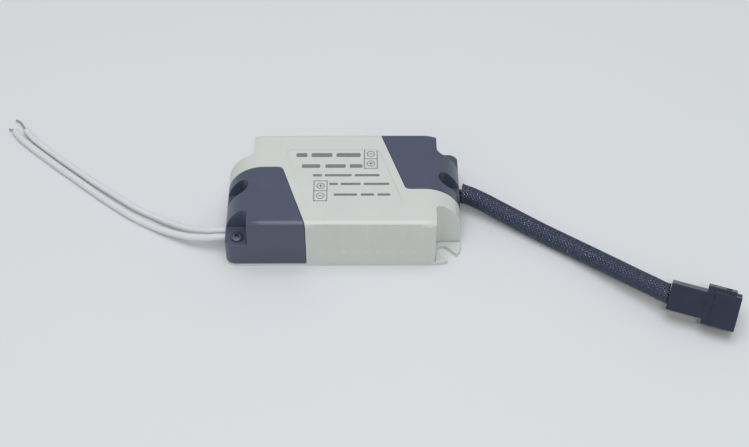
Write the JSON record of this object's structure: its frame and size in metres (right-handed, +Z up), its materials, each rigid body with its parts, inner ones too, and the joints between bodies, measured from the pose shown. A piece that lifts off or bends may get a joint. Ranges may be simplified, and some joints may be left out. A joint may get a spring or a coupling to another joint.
{
  "type": "led driver",
  "caption": "Plug-in-line mains LED driver: two-tone plastic case with slotted fixing ears, white input wires and a sleeved output lead ending in a latching receptacle.",
  "frame": {"origin": "centre of the case's underside", "axes": "+X along the case towards the output lead, +Y to the back, +Z up out of the top of the case"},
  "size_m": [0.2259, 0.0928, 0.0185],
  "materials": {
    "white_plastic": "satin moulded",
    "slate_plastic": "satin moulded",
    "steel": "black zinc",
    "board": "phenolic board",
    "ferrite": "sintered",
    "bobbin_plastic": "moulded",
    "winding_tape": "polyester tape",
    "can_sleeve": "shrink sleeve",
    "ceramic": "dipped",
    "black_plastic": "moulded",
    "resistor_paint": "painted",
    "lead_plastic": "extruded",
    "wire_white": "extruded",
    "tinned_copper": "tinned strands",
    "braid": "woven nylon",
    "connector_plastic": "moulded",
    "contact_brass": "plated"
  },
  "bodies": {
    "root": {"base_tray": "white_plastic", "top_cover": "white_plastic", "input_end_cap": "slate_plastic", "output_end_cap": "slate_plastic", "cap_screws": "steel", "circuit_board": "board", "transformer_core": "ferrite", "transformer_bobbin": "bobbin_plastic", "transformer_winding": "winding_tape", "input_capacitor": "can_sleeve", "output_capacitor": "can_sleeve", "input_choke": "ferrite", "safety_capacitor": "ceramic", "driver_chip": "black_plastic", "bridge_rectifier": "black_plastic", "fuse_resistor": "resistor_paint", "output_diode": "black_plastic", "small_parts": "resistor_paint", "input_clamp": "white_plastic", "output_clamp": "white_plastic", "output_leads": "lead_plastic", "input_wire_near": "wire_white", "input_wire_far": "wire_white", "wire_tips": "tinned_copper", "braided_sleeve": "braid", "connector_housing": "connector_plastic", "connector_contacts": "contact_brass"}
  },
  "joints": []
}
